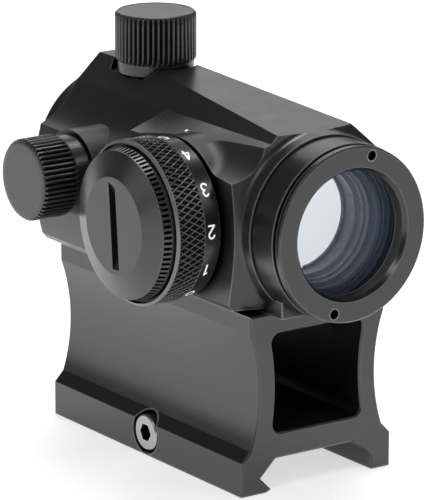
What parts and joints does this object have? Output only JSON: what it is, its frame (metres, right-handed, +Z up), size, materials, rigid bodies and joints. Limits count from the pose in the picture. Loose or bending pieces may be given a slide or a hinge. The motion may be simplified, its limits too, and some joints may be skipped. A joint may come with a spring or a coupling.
{
  "type": "red dot finder",
  "caption": "Compact tube red dot finder on a see-through riser, with brightness dial, capped elevation and windage adjusters and a cross-bolt rail clamp.",
  "frame": {"origin": "middle of the flat seat that rests on top of the accessory rail", "axes": "+X forward to the target along the optical axis, +Y to the user's left, +Z up; the dial and windage cap face -Y"},
  "size_m": [0.0675, 0.0428, 0.0677],
  "materials": {
    "body_black": "satin black hard anodised",
    "riser_black": "satin black hard anodised",
    "ring_black": "satin black anodised",
    "tube_black": "matt black anodised inside",
    "cap_black": "black anodised, fluted",
    "dial_black": "black anodised, diamond knurled",
    "bright_steel": "plain steel",
    "dark_steel": "blackened steel",
    "spring_steel": "spring steel",
    "cell_steel": "nickel-plated steel",
    "contact_brass": "plain brass",
    "seal_rubber": "nitrile rubber",
    "black_plastic": "moulded black plastic",
    "board_laminate": "green laminate",
    "led_lens": "clear red",
    "tinted_glass": "blue-grey coated glass",
    "clear_glass": "clear coated glass",
    "coated_glass": "partly reflecting coated glass"
  },
  "bodies": {
    "sight_body": {"housing": "body_black", "riser_mount": "riser_black", "mount_screws": "dark_steel", "objective_ring": "ring_black", "objective_seal": "seal_rubber", "objective_lens": "tinted_glass", "lens_spacer": "ring_black", "ocular_lens": "clear_glass", "ocular_seal": "seal_rubber", "ocular_ring": "ring_black", "elevation_retainer": "dark_steel", "windage_retainer": "dark_steel", "click_balls": "bright_steel", "click_springs": "spring_steel", "return_spring": "spring_steel", "switch_board": "board_laminate", "dial_seal": "seal_rubber"},
    "clamp_screw": {"clamp_screw": "bright_steel"},
    "clamp_jaw": {"clamp_jaw": "riser_black"},
    "elevation_cap_seal": {"elevation_cap_seal": "seal_rubber"},
    "elevation_cap": {"elevation_cap": "cap_black"},
    "windage_cap_seal": {"windage_cap_seal": "seal_rubber"},
    "windage_cap": {"windage_cap": "cap_black"},
    "elevation_adjuster": {"elevation_adjuster": "contact_brass"},
    "elevation_plunger": {"elevation_plunger": "bright_steel"},
    "windage_adjuster": {"windage_adjuster": "contact_brass"},
    "windage_plunger": {"windage_plunger": "bright_steel"},
    "pivot_ring": {"pivot_ring": "ring_black"},
    "optic_tube": {"optic_tube": "tube_black", "reflector_lens": "coated_glass", "reflector_clip": "dark_steel", "emitter_holder": "black_plastic", "emitter_led": "led_lens"},
    "brightness_dial": {"brightness_dial": "dial_black", "dial_circlip": "dark_steel", "wiper_disc": "black_plastic", "wiper_contacts": "contact_brass", "contact_pin": "contact_brass", "battery_tray": "black_plastic", "battery_spring": "spring_steel", "battery": "cell_steel"},
    "battery_cap_seal": {"battery_cap_seal": "seal_rubber"},
    "battery_cap": {"battery_cap": "dial_black"}
  },
  "joints": [
    {"name": "clamp_jaw_slide", "type": "slide", "parent": "sight_body", "child": "clamp_jaw", "axis": [0, 1, 0], "range_m": [0, 0.002]},
    {"name": "clamp_screw_turn", "type": "hinge", "parent": "sight_body", "child": "clamp_screw", "pos_m": [-0.0016, 0, -0.0016], "axis": [0, -1, 0], "range_deg": [0, 1450]},
    {"name": "elevation_cap_travel", "type": "slide", "parent": "sight_body", "child": "elevation_cap_seal", "axis": [0, 0, 1], "range_m": [0, 0.00525]},
    {"name": "elevation_cap_turn", "type": "hinge", "parent": "elevation_cap_seal", "child": "elevation_cap", "pos_m": [-0.0194, 0, 0.058], "axis": [0, 0, 1], "range_deg": [0, 2530]},
    {"name": "windage_cap_travel", "type": "slide", "parent": "sight_body", "child": "windage_cap_seal", "axis": [0, -1, 0], "range_m": [0, 0.00525]},
    {"name": "windage_cap_turn", "type": "hinge", "parent": "windage_cap_seal", "child": "windage_cap", "pos_m": [-0.0165, -0.023, 0.0388], "axis": [0, -1, 0], "range_deg": [0, 2530]},
    {"name": "elevation_plunger_slide", "type": "slide", "parent": "sight_body", "child": "elevation_plunger", "axis": [0, 0, 1], "range_m": [-0.0005, 0.0005]},
    {"name": "elevation_adjuster_turn", "type": "hinge", "parent": "sight_body", "child": "elevation_adjuster", "pos_m": [-0.0194, 0, 0.053], "axis": [0, 0, 1], "range_deg": [-362, 362]},
    {"name": "tube_elevation", "type": "hinge", "parent": "sight_body", "child": "pivot_ring", "pos_m": [0.0264, 0, 0.03673], "axis": [0, 1, 0], "range_deg": [-0.63, 0.63], "deforming": ["return_spring"]},
    {"name": "windage_plunger_slide", "type": "slide", "parent": "sight_body", "child": "windage_plunger", "axis": [0, -1, 0], "range_m": [-0.0005, 0.0005]},
    {"name": "windage_adjuster_turn", "type": "hinge", "parent": "sight_body", "child": "windage_adjuster", "pos_m": [-0.0165, -0.018, 0.0388], "axis": [0, -1, 0], "range_deg": [-362, 362]},
    {"name": "tube_windage", "type": "hinge", "parent": "pivot_ring", "child": "optic_tube", "pos_m": [0.0264, 0, 0.03673], "axis": [0, 0, 1], "range_deg": [-0.68, 0.68]},
    {"name": "brightness_dial_turn", "type": "hinge", "parent": "sight_body", "child": "brightness_dial", "pos_m": [0.0093, -0.02, 0.0369], "axis": [0, -1, 0], "range_deg": [-150, 180]},
    {"name": "battery_cap_travel", "type": "slide", "parent": "brightness_dial", "child": "battery_cap_seal", "axis": [0, -1, 0], "range_m": [0, 0.00225]},
    {"name": "battery_cap_turn", "type": "hinge", "parent": "battery_cap_seal", "child": "battery_cap", "pos_m": [0.0093, -0.025, 0.0369], "axis": [0, -1, 0], "range_deg": [0, 1090]}
  ],
  "couplings": [
    {"joint": "clamp_screw_turn", "follows": "clamp_jaw_slide", "rad_per_m": 12566},
    {"joint": "elevation_cap_turn", "follows": "elevation_cap_travel", "rad_per_m": 8377.6},
    {"joint": "windage_cap_turn", "follows": "windage_cap_travel", "rad_per_m": 8377.6},
    {"joint": "battery_cap_turn", "follows": "battery_cap_travel", "rad_per_m": 8377.6},
    {"joint": "elevation_adjuster_turn", "follows": "elevation_plunger_slide", "rad_per_m": 12566},
    {"joint": "tube_elevation", "follows": "elevation_plunger_slide", "rad_per_m": 21.834},
    {"joint": "windage_adjuster_turn", "follows": "windage_plunger_slide", "rad_per_m": 12566},
    {"joint": "tube_windage", "follows": "windage_plunger_slide", "rad_per_m": 23.31}
  ]
}
